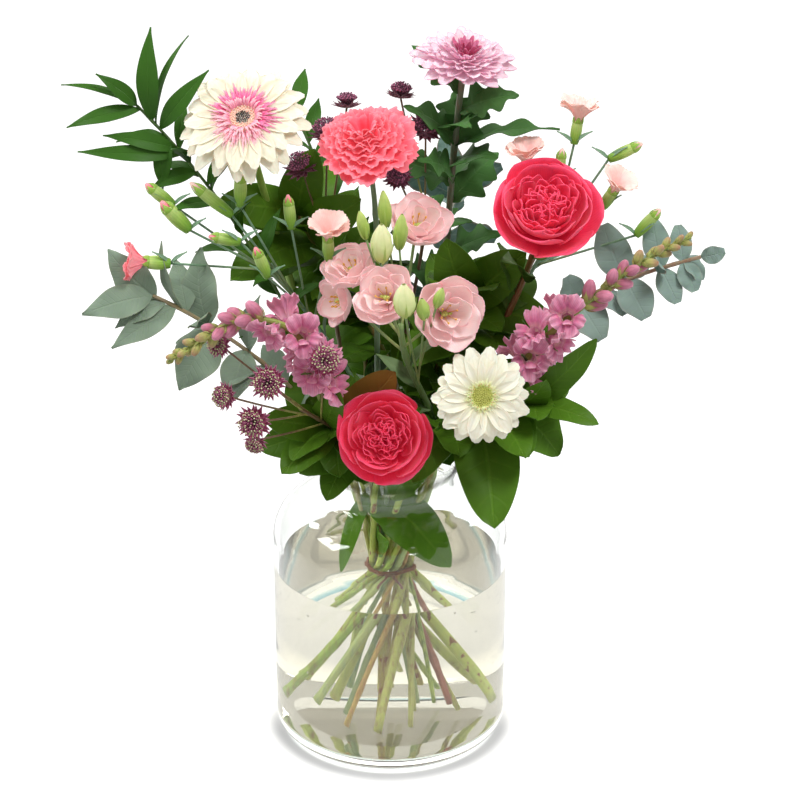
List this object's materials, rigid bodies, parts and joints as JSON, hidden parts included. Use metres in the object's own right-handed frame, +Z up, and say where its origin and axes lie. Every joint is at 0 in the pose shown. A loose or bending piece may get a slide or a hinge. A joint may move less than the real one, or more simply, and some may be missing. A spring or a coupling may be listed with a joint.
{
  "type": "bouquet of cut flowers in a glass bottle",
  "caption": "Hand-tied bouquet of gerberas with mixed flowers and foliage, standing in a clear glass bottle vase of water.",
  "frame": {"origin": "centre of the bottle's underside, on the surface that it stands on", "axes": "+Z up, the bouquet's front faces -Y, +X to the right seen from the front"},
  "size_m": [0.4608, 0.2747, 0.5513],
  "materials": {
    "bottle": "clear glass",
    "tie": "plain brown twine",
    "gerbera_cream_stem": "satin leaves and stems",
    "gerbera_white_stem": "satin leaves and stems",
    "carnation_stem": "satin leaves and stems",
    "rose_high_stem": "satin leaves and stems",
    "rose_low_stem": "satin leaves and stems",
    "chrysanthemum_stem": "satin leaves and stems",
    "gerbera_cream_heart": "soft matte petals",
    "gerbera_cream_petals": "soft matte petals",
    "gerbera_white_heart": "soft matte petals",
    "gerbera_white_petals": "soft matte petals",
    "carnation_petals": "soft matte petals",
    "chrysanthemum_petals": "soft matte petals",
    "rose_high_petals": "soft matte petals",
    "rose_low_petals": "soft matte petals",
    "lisianthus_stem": "satin leaves and stems",
    "lisianthus_bloom_a": "soft matte petals",
    "lisianthus_bloom_b": "soft matte petals",
    "lisianthus_bloom_c": "soft matte petals",
    "lisianthus_bloom_d": "soft matte petals",
    "lisianthus_bloom_e": "soft matte petals",
    "snapdragon_left": "satin leaves and stems",
    "snapdragon_right": "satin leaves and stems",
    "astrantia_front": "satin leaves and stems",
    "astrantia_left": "satin leaves and stems",
    "astrantia_right": "satin leaves and stems",
    "dianthus_left": "satin leaves and stems",
    "dianthus_right": "satin leaves and stems",
    "eucalyptus_left": "satin leaves and stems",
    "eucalyptus_right": "satin leaves and stems",
    "eucalyptus_back": "satin leaves and stems",
    "ruscus_left": "satin leaves and stems",
    "ruscus_back": "satin leaves and stems",
    "salal_right": "satin leaves and stems",
    "salal_left": "satin leaves and stems",
    "salal_upper": "satin leaves and stems",
    "salal_middle": "satin leaves and stems",
    "salal_back": "satin leaves and stems",
    "water": "clear water"
  },
  "bodies": {
    "root": {"bottle": "bottle", "tie": "tie", "gerbera_cream_stem": "gerbera_cream_stem", "gerbera_white_stem": "gerbera_white_stem", "carnation_stem": "carnation_stem", "rose_high_stem": "rose_high_stem", "rose_low_stem": "rose_low_stem", "chrysanthemum_stem": "chrysanthemum_stem", "gerbera_cream_heart": "gerbera_cream_heart", "gerbera_cream_petals": "gerbera_cream_petals", "gerbera_white_heart": "gerbera_white_heart", "gerbera_white_petals": "gerbera_white_petals", "carnation_petals": "carnation_petals", "chrysanthemum_petals": "chrysanthemum_petals", "rose_high_petals": "rose_high_petals", "rose_low_petals": "rose_low_petals", "lisianthus_stem": "lisianthus_stem", "lisianthus_bloom_a": "lisianthus_bloom_a", "lisianthus_bloom_b": "lisianthus_bloom_b", "lisianthus_bloom_c": "lisianthus_bloom_c", "lisianthus_bloom_d": "lisianthus_bloom_d", "lisianthus_bloom_e": "lisianthus_bloom_e", "snapdragon_left": "snapdragon_left", "snapdragon_right": "snapdragon_right", "astrantia_front": "astrantia_front", "astrantia_left": "astrantia_left", "astrantia_right": "astrantia_right", "dianthus_left": "dianthus_left", "dianthus_right": "dianthus_right", "eucalyptus_left": "eucalyptus_left", "eucalyptus_right": "eucalyptus_right", "eucalyptus_back": "eucalyptus_back", "ruscus_left": "ruscus_left", "ruscus_back": "ruscus_back", "salal_right": "salal_right", "salal_left": "salal_left", "salal_upper": "salal_upper", "salal_middle": "salal_middle", "salal_back": "salal_back", "water": "water"}
  },
  "joints": []
}
